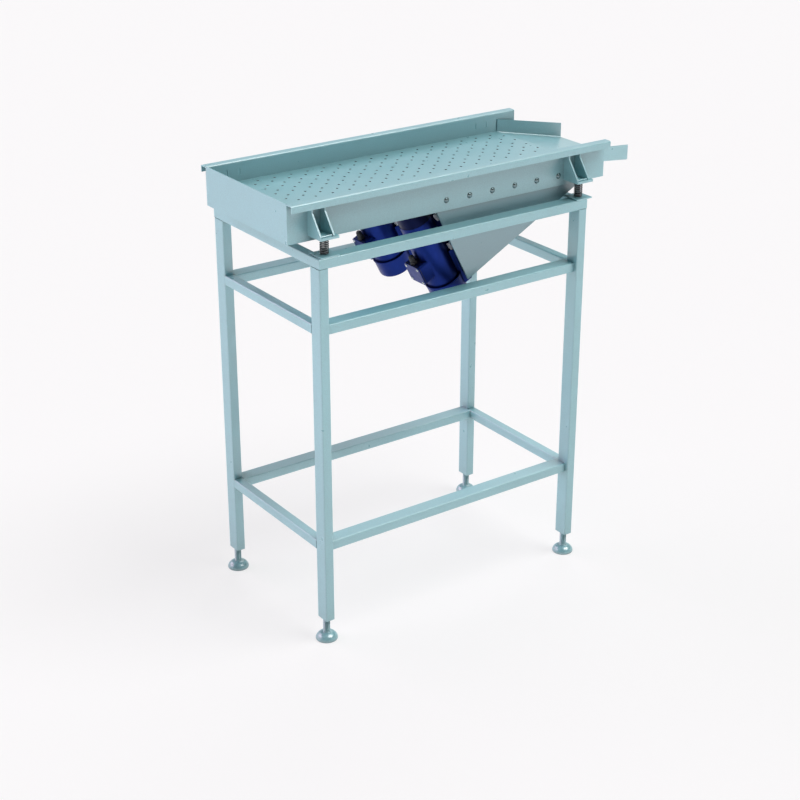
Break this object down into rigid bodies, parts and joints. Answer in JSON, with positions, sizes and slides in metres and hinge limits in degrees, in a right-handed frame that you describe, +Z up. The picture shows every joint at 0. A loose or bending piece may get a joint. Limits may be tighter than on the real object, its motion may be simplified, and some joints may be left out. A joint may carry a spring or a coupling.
{
  "type": "vibrating tray feeder",
  "caption": "Vibrating feeder: perforated tray with a tapered discharge spout, carried on coil springs by a tubular stand and shaken by vibrator motors under it.",
  "frame": {"origin": "on the floor, under the middle of the whole part's box", "axes": "+X towards the discharge spout, +Y to the back long side, +Z up"},
  "size_m": [1.075, 0.496, 1.138],
  "materials": {
    "stand_paint": "satin",
    "tray_paint": "satin",
    "motor_paint": "gloss",
    "spring_steel": "oiled",
    "zinc_steel": "zinc plated",
    "core_steel": "machined",
    "gland_plastic": "matt"
  },
  "bodies": {
    "stand": {"leg_front_left": "stand_paint", "leg_front_right": "stand_paint", "leg_back_left": "stand_paint", "leg_back_right": "stand_paint", "low_rail_front": "stand_paint", "low_rail_back": "stand_paint", "low_rail_left": "stand_paint", "low_rail_right": "stand_paint", "mid_rail_front": "stand_paint", "mid_rail_back": "stand_paint", "mid_rail_left": "stand_paint", "mid_rail_right": "stand_paint", "ring_front": "stand_paint", "ring_back": "stand_paint", "ring_left": "stand_paint", "ring_right": "stand_paint", "leg_nut_blocks": "zinc_steel", "spring_seats": "stand_paint", "seat_spigots": "stand_paint", "spring_front_left": "spring_steel", "spring_front_right": "spring_steel", "spring_back_left": "spring_steel", "spring_back_right": "spring_steel"},
    "tray": {"front_wall": "tray_paint", "back_wall": "tray_paint", "end_plate": "tray_paint", "screen_deck": "tray_paint", "discharge_spout": "tray_paint", "bracket_plates": "tray_paint", "bracket_gussets": "tray_paint", "bracket_spigots": "tray_paint", "side_plate_front": "tray_paint", "side_plate_back": "tray_paint", "motor_plate": "tray_paint", "wall_bolts": "zinc_steel", "wall_nuts": "zinc_steel", "motor_bolts": "zinc_steel", "motor_nuts": "zinc_steel", "motor_housing_front": "motor_paint", "lower_cover_front": "motor_paint", "upper_cover_front": "motor_paint", "terminal_lid_front": "motor_paint", "motor_housing_back": "motor_paint", "lower_cover_back": "motor_paint", "upper_cover_back": "motor_paint", "terminal_lid_back": "motor_paint", "cable_gland_front": "gland_plastic", "cable_gland_back": "gland_plastic", "stator_front": "core_steel", "stator_back": "core_steel", "motor_bearings": "core_steel"},
    "rotor_front": {"rotor_front": "core_steel", "eccentric_weights_front": "core_steel"},
    "rotor_back": {"rotor_back": "core_steel", "eccentric_weights_back": "core_steel"},
    "foot_front_left": {"foot_front_left": "stand_paint"},
    "foot_front_right": {"foot_front_right": "stand_paint"},
    "foot_back_left": {"foot_back_left": "stand_paint"},
    "foot_back_right": {"foot_back_right": "stand_paint"}
  },
  "joints": [
    {"name": "tray_throw", "type": "slide", "parent": "stand", "child": "tray", "axis": [0.887, 0, 0.4617], "range_m": [-0.004, 0.004], "stiffness_N_per_m": 70000, "springref_m": 0.00306, "deforming": ["spring_front_left", "spring_front_right", "spring_back_left", "spring_back_right"]},
    {"name": "rotor_front_spin", "type": "hinge", "parent": "tray", "child": "rotor_front", "pos_m": [-0.10805, -0.115, 0.96197], "axis": [-0.4617, 0, 0.887], "continuous": true},
    {"name": "rotor_back_spin", "type": "hinge", "parent": "tray", "child": "rotor_back", "pos_m": [-0.10805, 0.115, 0.96197], "axis": [-0.4617, 0, 0.887], "continuous": true},
    {"name": "foot_front_left_level", "type": "slide", "parent": "stand", "child": "foot_front_left", "axis": [0, 0, 1], "range_m": [-0.01, 0.03]},
    {"name": "foot_front_right_level", "type": "slide", "parent": "stand", "child": "foot_front_right", "axis": [0, 0, 1], "range_m": [-0.01, 0.03]},
    {"name": "foot_back_left_level", "type": "slide", "parent": "stand", "child": "foot_back_left", "axis": [0, 0, 1], "range_m": [-0.01, 0.03]},
    {"name": "foot_back_right_level", "type": "slide", "parent": "stand", "child": "foot_back_right", "axis": [0, 0, 1], "range_m": [-0.01, 0.03]}
  ]
}
